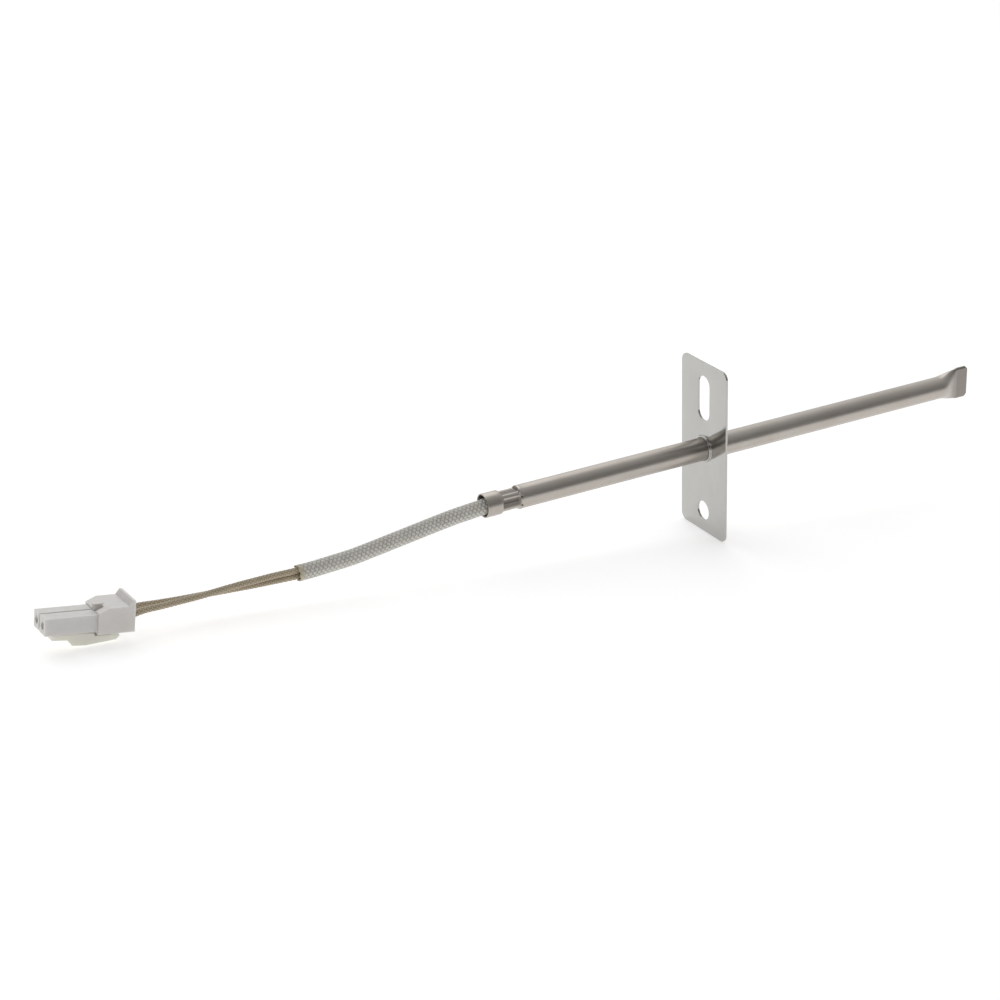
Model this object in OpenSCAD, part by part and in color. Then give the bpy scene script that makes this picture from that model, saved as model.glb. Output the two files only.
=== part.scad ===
// Oven temperature probe: a resistance element in a steel tube, with a screw-on plate,
// a sleeved pair of leads and a two-way plug.
// Frame: X runs along the tube towards the sensing tip, Z is up along the plate, and the
// origin is on the tube's axis in the plate's mounting face, which looks towards the leads.

/* [Probe tube] */
// Outside diameter of the steel tube
tube_d = 6.35; // [6:0.05:8]
// Wall of the steel tube
tube_wall = 0.4; // [0.3:0.05:0.5]
// Length from the plate's mounting face back to the open mouth
tube_rear = 68.5; // [55:0.5:90]
// Length from the plate's mounting face forward to the flattened tip
tube_front = 90.9; // [70:0.1:160]
// Length of the flat at the tip
flat_len = 3.7; // [2:0.1:8]
// Thickness of the flat at the tip
flat_t = 1.1; // [1:0.1:1.6]
// Length over which the tube goes from round to flat
flare_len = 6.5; // [5:0.1:10]

/* [Crimp] */
// Length of the open collar behind the crimp
collar_len = 4.3; // [3.5:0.1:7]
// How much wider the open collar is than the tube, across its diameter
collar_flare = 0.15; // [0:0.05:0.4]
// Length of the crimped neck
neck_len = 5.9; // [4.5:0.1:8]
// How far the ridges between the crimp flats lie below the tube, on the radius
ridge_drop = 0.35; // [0.2:0.05:0.5]

/* [Mounting plate] */
// Width of the plate
plate_w = 21.3; // [17:0.1:30]
// Tube axis to the plate's top edge
plate_up = 25.0; // [22:0.1:35]
// Tube axis to the plate's bottom edge
plate_down = 24.5; // [20:0.1:35]
// Thickness of the plate
plate_t = 0.6; // [0.5:0.1:1.2]
// Radius of the plate's corners
plate_corner_r = 2.2; // [1:0.1:4]
// Diameter of the round screw hole, and width of the slot
screw_hole_d = 5.4; // [4:0.1:6.5]
// End-to-end length of the slot
slot_len = 12.8; // [9:0.1:14]
// Plate's top edge to the top of the slot
slot_inset = 3.9; // [3:0.1:6]
// Plate's bottom edge to the centre of the screw hole
hole_inset = 6.1; // [5:0.1:8]
// How far the drawn ring round the tube stands out of the mounting face
ring_rise = 0.5; // [0.3:0.1:1.5]
// Wall of the drawn ring
ring_wall = 0.6; // [0.4:0.1:1.2]

/* [Sensing element] */
// Length of the ceramic chip
chip_l = 10.0; // [5:0.5:14]
// Thickness of the ceramic chip
chip_t = 0.65; // [0.5:0.05:1]
// Diameter of the element's own leads
element_lead_d = 0.25; // [0.2:0.05:0.3]
// Diameter of the nickel wires that run along the tube
core_wire_d = 0.6; // [0.5:0.05:0.7]
// Play of the ceramic insulators in the tube, on the radius
insulator_play = 0.15; // [0.1:0.05:0.4]
// Diameter of the insulators' two bores
insulator_bore_d = 0.9; // [0.8:0.05:1.1]

/* [Leads] */
// Outside diameter of one glass-braided lead
lead_d = 1.65; // [1.2:0.05:1.7]
// Diameter of a lead's bare strands
strand_d = 0.8; // [0.6:0.05:0.9]
// Wall of the white braided sleeve
sleeve_wall = 0.35; // [0.3:0.05:0.45]
// Wall of the sleeve where the crimp squeezes it
squeezed_wall = 0.14; // [0.1:0.02:0.2]
// Length of a crimp splice inside the tube
splice_l = 7.0; // [5:0.5:9]
// Wall of a crimp splice
splice_wall = 0.25; // [0.2:0.05:0.3]

/* [Plug] */
// Length of the plug over its body and towers
plug_l = 22.2; // [19:0.1:26]
// Length of the plug's body, with its rear flange
plug_body_l = 9.2; // [8:0.1:11]
// Width of the plug's body
plug_body_w = 9.6; // [9.2:0.1:12]
// Height of the plug's body
plug_body_h = 6.5; // [6.2:0.1:8]
// Thickness of the rear flange at its root
flange_t = 1.7; // [1:0.1:2]
// Thickness of the rear flange at its top
flange_top_t = 0.7; // [0.4:0.1:1]
// How far the rear flange stands above the body
flange_rise = 1.4; // [0.5:0.1:2]
// Distance between the two contacts
contact_pitch = 4.3; // [4.1:0.1:4.5]
// Width of the wide tower, on the -Y side
tower_w = 3.9; // [3.5:0.1:4]
// Width of the keyed tower, on the +Y side
key_tower_w = 3.5; // [3.4:0.1:3.8]
// Height of the towers
tower_h = 4.3; // [4:0.1:5]
// How far the towers' top lies below the body's top
tower_drop = 1.6; // [1.2:0.1:1.8]
// Outside diameter of a socket contact
contact_d = 2.2; // [1.9:0.1:2.4]
// Bore of a socket contact
contact_bore_d = 1.5; // [1.3:0.1:1.7]

/* [Latch] */
// Width of the latch lever
latch_w = 6.0; // [5:0.1:7]
// Gap between the towers' underside and the lever's front bar
latch_gap = 0.5; // [0.4:0.1:0.8]
// Thickness of the lever's front bar
latch_bar_t = 1.25; // [1:0.05:1.6]

/* [Hidden] */
$fn = 64;

// Side signs: lead a serves the contact at -Y, lead b the one at +Y
side_a = -1;
side_b = 1;
// Clearances
slide_fit = 0.02;  // between pieces that are pressed or crimped together
loose_fit = 0.1;   // between pieces that are dropped in
cut_past = 1;      // how far a cut runs past the face it opens

// Tube
tube_r = tube_d / 2;
bore_r = tube_r - tube_wall;
collar_r = tube_r + collar_flare / 2;
mouth_x = -tube_rear;
neck_x = mouth_x + collar_len;
body_x = neck_x + neck_len;
flat_x = tube_front - flat_len;
flare_x = flat_x - flare_len;
lap = 0.3;         // how far a formed end runs into the straight tube
shy = 0.02;        // how far it stays inside the tube's skin there

// Leads side by side, the sleeve over them, and the crimp over the sleeve
lead_gap = 0.03;
pair_r = lead_d + lead_gap / 2;
core_pitch = lead_d + lead_gap + 0.22;
round_off = 1 / cos(15);       // a twelve-sided ring's corners over its flats
sleeve_bore_r = pair_r * round_off + 0.08;
sleeve_r = sleeve_bore_r + sleeve_wall;
squeezed_bore_r = pair_r * round_off;
squeezed_r = squeezed_bore_r + squeezed_wall;
neck_flat_r = squeezed_r + slide_fit + tube_wall;

// Element and insulators
core_wire_r = core_wire_d / 2;
chip_w = core_pitch + 0.4;
chip_end_x = flare_x - 2.5;
chip_x = chip_end_x - chip_l;
chip_top_z = core_wire_r;
element_lead_z = chip_top_z + element_lead_d / 2;
weld_l = 4;
insulator_r = bore_r - insulator_play;
core_front_x = chip_x - 3.5;
element_lead_x = core_front_x - weld_l;
glaze_l = 2.6;
glaze_t = 0.55;
packing_x = element_lead_x - 1;
insulator_gap = 0.5;
insulator_joint_x = (packing_x + body_x) / 2;
lead_start_x = mouth_x + 15;
strand_gap = 0.1;              // between a lead's braid end and its bare strands' solid
splice_x = lead_start_x + 1.5;
splice_mid_x = splice_x + splice_l / 2;
rear_insulator_x = splice_x + splice_l + 1;
cover_over = 0.6;              // how far a cover runs past its splice at each end
splice_r = strand_d / 2 + splice_wall;
cover_r = core_pitch / 2 - slide_fit;

// Plug, in its own frame: x towards the mating end, z up, origin at the rear of the body's top.
// It leans nose up and rolls a little, as it rests on its latch.
plug_at = [mouth_x - 97.3, 0, -0.4];
plug_lean = 10;
plug_roll = -3.5;
contact_z = -tower_drop - tower_h / 2;
tower_bottom_z = -tower_drop - tower_h;
chamfer_l = 2.6;
chamfer_h = 1.2;
key_pocket = [2.0, 1.6];       // length and width of the key pocket in the chamfer
key_pocket_y = 0.9;
key_pocket_low_z = -1.75;
key_rib = [3.1, 1.15];         // length and width of the rib beside the key pocket
cavity = [2.7, 3.1];
cavity_r = 1.65;
wire_door = [3.2, 3.9];
socket_l = 8.5;
socket_x = plug_l - socket_l - 2.5;
crimp_x = 3.2;
crimp_l = 3.4;
crimp_wall = 0.25;
crimp_r = strand_d / 2 + slide_fit + crimp_wall;
braid_end_x = 1.1;             // where the bare strands begin
web_x = crimp_x + crimp_l + loose_fit;
web_t = 0.6;                   // web between the wire bore and the tower's cavity, which holds the contact
end_wall = 0.8;                // wall at a tower's mating end
entry_r = 0.95;                // the hole in it that a pin enters

// Latch lever, in the plug's frame
latch_root_x = plug_l - 3.7;
latch_root_l = 1.6;
latch_top_z = tower_bottom_z - latch_gap;
latch_bar_x = plug_l - 2.1;
latch_pad_x = 16.1;
latch_pad_t = 1.4;
latch_end_x = 3.0;
latch_drop = plug_body_h + tower_bottom_z + 0.85 - latch_gap;

// Routes, as [along X from the tube's mouth, Y, Z]. The leads' first points lie in the tube.
sleeve_route = [
    [13, 0, 0], [11.5, 0, 0], [10, 0, 0], [4.9, 0, 0], [3.4, 0, -0.1], [0, 0, -0.3],
    [-4, 0, -0.6], [-9, 0, -1.0], [-14, 0, -1.6], [-20, 0, -2.4], [-26, 0, -3.2],
    [-32, 0, -4.0], [-38, 0, -4.7], [-44, 0, -5.0], [-49, 0, -5.2], [-53, 0, -5.2]
];
// The stretch of the sleeve's route that the crimp squeezes, as ring numbers
squeezed_rings = [2, 3];
lead_route_a = [
    [15, -0.95, 0], [12.8, -0.9, 0.25], [10.5, -0.6, 0.6], [8, -0.6, 0.6], [4.7, -0.6, 0.6],
    [2, -0.5, 0.5], [-2, -0.4, 0.3], [-7, -0.3, 0], [-12, -0.2, -0.55], [-17, -0.1, -1.15],
    [-22, 0, -1.8], [-27, 0, -2.5], [-32, 0, -3.15], [-37, 0, -3.75], [-42, 0, -4.05],
    [-47, 0, -4.25], [-51, -0.05, -4.35], [-55, -0.15, -4.25], [-60, -0.3, -4.0],
    [-65, -0.5, -3.88], [-70, -0.7, -3.78], [-75, -0.9, -3.82], [-80, -1.2, -3.8],
    [-85, -1.55, -3.58], [-90, -1.95, -3.35], [-94, -2.2, -3.1], [-97, -2.32, -3.3],
    [-98.83, -2.375, -3.72]
];
lead_route_b = [
    [15, 0.95, 0], [12.8, 0.9, -0.25], [10.5, 0.6, -0.6], [8, 0.6, -0.6], [4.7, 0.6, -0.6],
    [2, 0.5, -0.85], [-2, 0.4, -1.2], [-7, 0.3, -1.7], [-12, 0.2, -2.25], [-17, 0.1, -2.85],
    [-22, 0, -3.5], [-27, 0, -4.2], [-32, 0, -4.85], [-37, 0, -5.45], [-42, 0, -5.75],
    [-47, 0, -5.95], [-51, 0.05, -6.05], [-55, 0.15, -5.95], [-60, 0.3, -5.75],
    [-65, 0.5, -5.55], [-70, 0.7, -5.25], [-75, 0.9, -4.95], [-80, 1.2, -4.75],
    [-85, 1.5, -4.5], [-90, 1.75, -4.1], [-94, 1.9, -3.7], [-97, 1.93, -3.66],
    [-98.92, 1.917, -3.98]
];

// ---- Shapes used more than once ----

// A cylinder along X, from x0, centred on [y, z]
module rod(x0, length, r, y = 0, z = 0) {
    translate([x0, y, z]) rotate([0, 90, 0]) cylinder(h = length, r = r);
}

// A block from its lowest corner
module block(x, y, z, size) {
    translate([x, y, z]) cube(size);
}

// Skins a list of rings, each with the same number of points. A looped skin joins its last
// ring to its first, as the wall of a hose does; any other gets a cap at each end.
module skin(rings, looped = false) {
    count = len(rings);
    sides = len(rings[0]);
    last = looped ? count : count - 1;
    walls = [
        for (i = [0 : last - 1], j = [0 : sides - 1])
            let (k = (j + 1) % sides, m = ((i + 1) % count) * sides)
            [i * sides + j, m + j, m + k, i * sides + k]
    ];
    first_cap = [for (j = [0 : sides - 1]) j];
    last_cap = [for (j = [sides - 1 : -1 : 0]) (count - 1) * sides + j];
    polyhedron(
        points = [for (ring = rings, point = ring) point],
        faces = looped ? walls : concat(walls, [first_cap, last_cap]),
        convexity = 6
    );
}

function unit(v) = v / norm(v);

// The direction of a route at point i
function heading(route, i) =
    unit(route[min(i + 1, len(route) - 1)] - route[max(i - 1, 0)]);

// A ring of points round point i of a route
function route_ring(route, i, r, sides) =
    let (
        ahead = heading(route, i),
        across = unit(cross([0, 0, 1], ahead)),
        up = cross(ahead, across)
    )
    [for (j = [0 : sides - 1])
        let (turn = (j + 0.5) * 360 / sides)
        route[i] + r * (cos(turn) * across + sin(turn) * up)];

function from_mouth(route) = [for (p = route) [mouth_x + p[0], p[1], p[2]]];

// ---- Probe tube ----

// Goes from 0 at a to 1 at b, level at both ends
function ease(a, b, x) =
    let (t = min(max((x - a) / (b - a), 0), 1))
    t * t * (3 - 2 * t);

// Radius of the neck at angle turn, a share u of the way from collar to tube. Four flats are
// pressed in, and the metal between them stays as ridges. inset is how far inside the skin.
function neck_radius(turn, u, inset) =
    let (
        plain = collar_r + (tube_r - collar_r) * u,
        pressed = ease(0, 0.15, u) * (1 - ease(0.86, 1, u)),
        flat_r = plain - (plain - neck_flat_r) * pressed - inset,
        ridge_r = plain - ridge_drop * pressed - inset,
        off_flat = abs(((turn + 45) % 90) - 45)
    )
    min(ridge_r, flat_r / cos(off_flat));

function neck_ring(x, u, inset, sides = 48) =
    [for (j = [0 : sides - 1])
        let (turn = j * 360 / sides, r = neck_radius(turn, u, inset))
        [x, r * cos(turn), r * sin(turn)]];

neck_steps = [0, 0.04, 0.08, 0.12, 0.15, 0.5, 0.86, 0.9, 0.95, 1];

module neck_form(inset, trim) {
    skin(concat(
        [neck_ring(neck_x - lap, 0, inset + trim)],
        [for (u = neck_steps) neck_ring(neck_x + u * neck_len, u,
            inset + (u == 0 || u == 1 ? trim : 0))],
        [neck_ring(body_x + lap, 1, inset + trim)]
    ));
}

// The tube flattens without stretching: its half thickness goes from r to thin, and the
// straight sides that this frees make it wider.
function flat_ring(x, r, thin, trim = 0, sides = 32) =
    let (straight = PI / 2 * (r - thin))
    [for (j = [0 : sides - 1])
        let (turn = (j + 0.5) * 360 / sides)
        [x, thin * cos(turn), thin * sin(turn) + sign(sin(turn)) * (straight - trim)]];

flare_steps = [0, 0.12, 0.25, 0.4, 0.55, 0.7, 0.85, 1];
tip_corner = 0.7;

module tip_form() {
    r = tube_r - shy;
    skin(concat(
        [flat_ring(flare_x - lap, r, r)],
        [for (s = flare_steps)
            flat_ring(flare_x + s * flare_len, r, r + (flat_t / 2 - r) * ease(-0.25, 1.1, s))],
        [
            flat_ring(flat_x + 0.6, tube_r, flat_t / 2),
            flat_ring(tube_front - tip_corner, tube_r, flat_t / 2),
            flat_ring(tube_front, tube_r, flat_t / 2, tip_corner)
        ]
    ));
}

module tip_hollow() {
    r = bore_r - shy;
    pinch = 0.06;
    skin(concat(
        [flat_ring(flare_x - lap, r, r)],
        [for (s = flare_steps)
            flat_ring(flare_x + s * (flare_len - 0.4), r, r + (pinch - r) * ease(-0.25, 1.1, s))]
    ));
}

module probe_tube() {
    color("#8d8880") difference() {
        union() {
            rod(mouth_x, collar_len, collar_r);
            neck_form(0, shy);
            rod(body_x, flare_x - body_x, tube_r);
            tip_form();
        }
        rod(mouth_x - cut_past, collar_len + cut_past, collar_r - tube_wall);
        neck_form(tube_wall, shy);
        rod(body_x, flare_x - body_x, bore_r);
        tip_hollow();
    }
}

// ---- Mounting plate ----

module rounded_outline(w, low, high, r) {
    for (y = [-w / 2 + r, w / 2 - r], z = [low + r, high - r])
        translate([y, z]) circle(r);
    translate([-w / 2 + r, low]) square([w - 2 * r, high - low]);
    translate([-w / 2, low + r]) square([w, high - low - 2 * r]);
}

module slot_outline(length, w, top) {
    for (z = [top - w / 2, top - length + w / 2])
        translate([0, z]) circle(d = w);
    translate([-w / 2, top - length + w / 2]) square([w, length - w]);
}

// Stands a flat outline drawn in [y, z] up in the plate's place
module stand_up(x, t) {
    translate([x, 0, 0]) rotate([90, 0, 90]) linear_extrude(height = t) children();
}

module mounting_plate() {
    color("#a3a098") difference() {
        union() {
            stand_up(0, plate_t)
                rounded_outline(plate_w, -plate_down, plate_up, plate_corner_r);
            rod(-ring_rise, ring_rise + plate_t / 2, tube_r + ring_wall);
        }
        stand_up(-cut_past, plate_t + 2 * cut_past)
            slot_outline(slot_len, screw_hole_d, plate_up - slot_inset);
        rod(-cut_past, plate_t + 2 * cut_past, screw_hole_d / 2, 0, -plate_down + hole_inset);
        rod(-ring_rise - cut_past, ring_rise + plate_t + 2 * cut_past, tube_r + slide_fit);
    }
}

// ---- Sensing element ----

module sensing_chip() {
    color("#f2efe6")
        block(chip_x, -chip_w / 2, chip_top_z - chip_t, [chip_l, chip_w, chip_t]);
}

module element_lead(side, extra = 0) {
    rod(element_lead_x, chip_x + 2 - element_lead_x, element_lead_d / 2 + extra,
        side * core_pitch / 2, element_lead_z + slide_fit);
}

module element_lead_a() { color("#d8d8d8") element_lead(side_a); }

module element_lead_b() { color("#d8d8d8") element_lead(side_b); }

module chip_glaze() {
    color("#5c7d8c") difference() {
        block(chip_x + 0.2, -chip_w / 2, chip_top_z, [glaze_l, chip_w, glaze_t]);
        for (side = [side_a, side_b]) element_lead(side, slide_fit);
    }
}

module core_wire(side, extra = 0) {
    rod(splice_mid_x + slide_fit, core_front_x - splice_mid_x - slide_fit,
        core_wire_r + extra, side * core_pitch / 2);
}

module core_wire_a() { color("#b9b3a6") core_wire(side_a); }

module core_wire_b() { color("#b9b3a6") core_wire(side_b); }

module insulator(x0, x1) {
    difference() {
        rod(x0, x1 - x0, insulator_r);
        for (side = [side_a, side_b])
            rod(x0 - cut_past, x1 - x0 + 2 * cut_past, insulator_bore_d / 2,
                side * core_pitch / 2);
    }
}

module front_insulator() {
    color("#efe9da") insulator(insulator_joint_x, packing_x - insulator_gap);
}

module rear_insulator() {
    color("#efe9da") insulator(rear_insulator_x, insulator_joint_x - insulator_gap);
}

module tip_packing() {
    color("#dcd6c8") difference() {
        rod(packing_x, flare_x - 0.5 - packing_x, bore_r - loose_fit);
        block(chip_x - slide_fit, -chip_w / 2 - slide_fit, chip_top_z - chip_t - slide_fit,
            [chip_l + 2 * slide_fit, chip_w + 2 * slide_fit, chip_t + 2 * slide_fit]);
        block(chip_x + 0.2 - slide_fit, -chip_w / 2 - slide_fit, chip_top_z,
            [glaze_l + 2 * slide_fit, chip_w + 2 * slide_fit, glaze_t + slide_fit]);
        for (side = [side_a, side_b]) {
            element_lead(side, slide_fit);
            core_wire(side, slide_fit);
            block(element_lead_x - slide_fit, side * core_pitch / 2 - element_lead_d / 2,
                0, [weld_l, element_lead_d, element_lead_z]);
        }
    }
}

// ---- Splices and leads inside the tube ----

module splice(side) {
    y = side * core_pitch / 2;
    difference() {
        rod(splice_x, splice_l, splice_r, y);
        rod(splice_x - cut_past, splice_l / 2 + cut_past, strand_d / 2 + slide_fit, y);
        rod(splice_mid_x - cut_past, splice_l / 2 + 2 * cut_past, core_wire_r + slide_fit, y);
    }
}

module splice_a() { color("#c9c4b8") splice(side_a); }

module splice_b() { color("#c9c4b8") splice(side_b); }

module splice_cover(side) {
    y = side * core_pitch / 2;
    difference() {
        rod(splice_x - cover_over, splice_l + 2 * cover_over, cover_r, y);
        rod(splice_x - cover_over - cut_past, splice_l + 2 * (cover_over + cut_past),
            splice_r + slide_fit, y);
    }
}

module splice_cover_a() { color("#f0eee8") splice_cover(side_a); }

module splice_cover_b() { color("#f0eee8") splice_cover(side_b); }

module strand_tail(side) {
    x0 = lead_start_x + strand_gap;
    rod(x0, splice_mid_x - slide_fit - x0, strand_d / 2, side * core_pitch / 2);
}

module strand_tail_a() { color("#c8a878") strand_tail(side_a); }

module strand_tail_b() { color("#c8a878") strand_tail(side_b); }

// ---- Free leads and sleeve ----

module lead(route) {
    placed = from_mouth(route);
    skin([for (i = [0 : len(placed) - 1]) route_ring(placed, i, lead_d / 2, 8)]);
}

module lead_wire_a() { color("#b39a68") lead(lead_route_a); }

module lead_wire_b() { color("#b39a68") lead(lead_route_b); }

module outer_sleeve() {
    placed = from_mouth(sleeve_route);
    last = len(placed) - 1;
    function squeezed(i) = i >= squeezed_rings[0] && i <= squeezed_rings[1];
    outside = [for (i = [0 : last])
        route_ring(placed, i, squeezed(i) ? squeezed_r : sleeve_r, 12)];
    inside = [for (i = [last : -1 : 0])
        route_ring(placed, i, squeezed(i) ? squeezed_bore_r : sleeve_bore_r, 12)];
    color("#dedfda") skin(concat(outside, inside), looped = true);
}

// ---- Plug ----

module in_plug() {
    translate(plug_at) rotate([0, plug_lean, 0]) rotate([plug_roll, 0, 0])
        rotate([0, 0, 180]) children();
}

// Extrudes an outline drawn in [x, z] across the plug's width
module across_plug(w) {
    rotate([90, 0, 0]) linear_extrude(height = w, center = true) children();
}

// The plug's frame is turned half round, so its y runs the other way
function plug_y(side) = -side * contact_pitch / 2;

module plug_body() {
    across_plug(plug_body_w) polygon([
        [0, -plug_body_h], [0, flange_rise], [flange_top_t, flange_rise], [flange_t, 0],
        [plug_body_l - chamfer_l, 0], [plug_body_l, -chamfer_h],
        [plug_body_l, -plug_body_h]
    ]);
}

module tower(side, w) {
    block(plug_body_l - 1, plug_y(side) - w / 2, tower_bottom_z,
        [plug_l - plug_body_l + 1, w, tower_h]);
}

module contact_cavity(side) {
    y = plug_y(side);
    block(web_x + web_t, y - cavity[0] / 2, contact_z - cavity[1] / 2,
        [plug_l - end_wall - web_x - web_t, cavity[0], cavity[1]]);
    rod(plug_l - end_wall - cut_past, end_wall + 2 * cut_past, entry_r, y, contact_z);
    rod(1, web_x - 1, cavity_r, y, contact_z);
    rod(web_x - cut_past, web_t + 2 * cut_past, crimp_r + slide_fit, y, contact_z);
    block(-cut_past, y - wire_door[0] / 2, contact_z - cavity_r,
        [cut_past + 2.5, wire_door[0], wire_door[1]]);
}

module plug_housing() {
    color("#e8e8e4") in_plug() difference() {
        union() {
            plug_body();
            block(plug_body_l - key_rib[0], key_pocket_y - key_rib[1], -chamfer_h - 0.2,
                [key_rib[0], key_rib[1], chamfer_h + 0.2]);
            tower(side_a, tower_w);
            tower(side_b, key_tower_w);
        }
        block(plug_body_l - key_pocket[0], key_pocket_y, key_pocket_low_z,
            [key_pocket[0], key_pocket[1], cut_past - key_pocket_low_z]);
        for (side = [side_a, side_b]) contact_cavity(side);
    }
}

module contact(side) {
    y = plug_y(side);
    in_plug() difference() {
        union() {
            rod(crimp_x, socket_x - crimp_x, crimp_r, y, contact_z);
            rod(socket_x, socket_l, contact_d / 2, y, contact_z);
        }
        rod(socket_x + 1.5, socket_l, contact_bore_d / 2, y, contact_z);
        rod(crimp_x - cut_past, crimp_l + cut_past, strand_d / 2 + slide_fit, y, contact_z);
        block(socket_x + 3, y - 0.15, contact_z, [socket_l, 0.3, contact_d]);
    }
}

module contact_a() { color("#c9ccd0") contact(side_a); }

module contact_b() { color("#c9ccd0") contact(side_b); }

module strand_end(side) {
    in_plug()
        rod(braid_end_x, crimp_x + crimp_l - slide_fit - braid_end_x, strand_d / 2,
            plug_y(side), contact_z);
}

module strand_end_a() { color("#c8a878") strand_end(side_a); }

module strand_end_b() { color("#c8a878") strand_end(side_b); }

// The lever hangs under the towers by a thin root and carries a wide finger pad
module latch_lever() {
    pad_low_z = latch_top_z - latch_bar_t;
    color("#e3e4d2") in_plug() union() {
        across_plug(latch_w) polygon([
            [latch_bar_x, latch_top_z], [latch_bar_x, pad_low_z],
            [latch_pad_x, pad_low_z - 0.2],
            [latch_pad_x - 1.2, pad_low_z - latch_pad_t - 0.3],
            [latch_pad_x - 4.5, pad_low_z - latch_pad_t - 0.5],
            [latch_end_x + 1, pad_low_z - latch_pad_t + 0.3],
            [latch_end_x, latch_top_z - latch_drop - 0.4],
            [latch_end_x + 0.3, latch_top_z - latch_drop],
            [plug_body_l + 0.15, latch_top_z - latch_drop],
            [plug_body_l + 0.3, latch_top_z - 0.2],
            [plug_body_l + 3, latch_top_z]
        ]);
        block(latch_root_x - latch_root_l / 2, -latch_w / 4, latch_top_z - 0.2,
            [latch_root_l, latch_w / 2, latch_gap - loose_fit + 0.2]);
    }
}

probe_tube();
mounting_plate();
sensing_chip();
chip_glaze();
element_lead_a();
element_lead_b();
core_wire_a();
core_wire_b();
front_insulator();
rear_insulator();
tip_packing();
splice_a();
splice_b();
splice_cover_a();
splice_cover_b();
strand_tail_a();
strand_tail_b();
lead_wire_a();
lead_wire_b();
outer_sleeve();
plug_housing();
latch_lever();
contact_a();
contact_b();
strand_end_a();
strand_end_b();
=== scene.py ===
# %% [markdown]
# # An oven temperature probe, built in Blender around its CAD frame
# The object is a steel tube with a flattened tip, a screw-on plate, a crimped mouth, a braided
# sleeve over two glass-braided leads, and a small plug with a latch. The CAD model has already
# settled every size and place. This script loads it and builds the looks: each visible piece is
# made again with finer form, and every piece gets a finish made of nodes.

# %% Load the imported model
import math
import bmesh
import bpy
from mathutils import Matrix, Vector


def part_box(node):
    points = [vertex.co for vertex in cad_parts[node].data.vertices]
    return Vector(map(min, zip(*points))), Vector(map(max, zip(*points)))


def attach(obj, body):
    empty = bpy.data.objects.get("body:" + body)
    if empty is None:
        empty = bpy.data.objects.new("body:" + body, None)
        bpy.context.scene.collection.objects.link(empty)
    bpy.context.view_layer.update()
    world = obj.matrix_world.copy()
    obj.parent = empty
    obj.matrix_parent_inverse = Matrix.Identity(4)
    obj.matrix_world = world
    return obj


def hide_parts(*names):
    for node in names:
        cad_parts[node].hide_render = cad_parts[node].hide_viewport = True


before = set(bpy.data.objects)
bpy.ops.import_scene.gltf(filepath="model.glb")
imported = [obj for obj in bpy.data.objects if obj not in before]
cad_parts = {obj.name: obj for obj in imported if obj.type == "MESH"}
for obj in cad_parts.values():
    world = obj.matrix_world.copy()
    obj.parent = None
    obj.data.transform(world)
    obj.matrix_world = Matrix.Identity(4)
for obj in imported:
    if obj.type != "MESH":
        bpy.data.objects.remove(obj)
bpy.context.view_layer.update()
MM = 0.001

# %% [markdown]
# ## Camera
# The camera stands in front of the leads' side, above the object, and looks along the tube. A long
# lens keeps the perspective gentle. Its direction is built from a heading, a drop and a small roll.

# %% Make the camera
CAMERA_AT = Vector((-0.3221, -0.4783, 0.2462))
CAMERA_LOOK = Vector((0.43356, 0.80150, -0.41184)).normalized()
CAMERA_ROLL = math.radians(-2.0)
LENS_MM = 82.69


def aim(look, roll):
    """Rotation of something that looks along its own -Z, turned by roll about that line."""
    return look.to_track_quat("-Z", "Y").to_matrix() @ Matrix.Rotation(roll, 3, "Z")


def in_scene(name, data):
    """A new object at the origin, linked into the scene."""
    made = bpy.data.objects.new(name, data)
    bpy.context.scene.collection.objects.link(made)
    return made


camera_data = bpy.data.cameras.new("camera")
camera_data.sensor_width = 36.0
camera_data.lens = LENS_MM
camera_data.clip_start = 0.01
camera_data.clip_end = 20.0
camera = in_scene("camera", camera_data)
camera.matrix_world = Matrix.Translation(CAMERA_AT) @ aim(CAMERA_LOOK, CAMERA_ROLL).to_4x4()
bpy.context.scene.camera = camera
print("camera up:", [round(v, 4) for v in camera.matrix_world.to_3x3().col[1]])

# %% [markdown]
# ## Small helpers for meshes
# Many pieces here are lofts: a row of rings, each a little further along, joined by quads. A solid
# loft is closed by a fan at each end. A wall goes up its outside and comes back down its inside,
# so that its last ring meets its first and no cap is needed.

# %% Loft helpers


def mesh_object(name, verts, faces, material=None):
    """A smooth-shaded object at the origin, its place in its mesh."""
    mesh = bpy.data.meshes.new(name)
    mesh.from_pydata([tuple(v) for v in verts], [], faces)
    mesh.update()
    if material:
        mesh.materials.append(material)
    mesh.shade_smooth()
    return in_scene(name, mesh)


def loft_faces(count, sides, closed, start=0):
    """Quads between count rings of so many sides. A closed loft joins its last ring to its first."""
    faces = []
    for i in range(count if closed else count - 1):
        a = start + i * sides
        b = start + (i + 1) % count * sides
        for j in range(sides):
            k = (j + 1) % sides
            faces.append((a + j, a + k, b + k, b + j))
    return faces


def loft(name, rings, closed=False, material=None):
    """Skins rings that run along their own axis, the right-handed way round."""
    sides = len(rings[0])
    verts = [p for ring in rings for p in ring]
    faces = loft_faces(len(rings), sides, closed)
    if not closed:
        for base in (0, (len(rings) - 1) * sides):
            verts.append(sum((Vector(p) for p in verts[base:base + sides]), Vector()) / sides)
            hub = len(verts) - 1
            for j in range(sides):
                a, b = base + j, base + (j + 1) % sides
                faces.append((hub, a, b) if base else (hub, b, a))
    return mesh_object(name, verts, faces, material)


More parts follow.
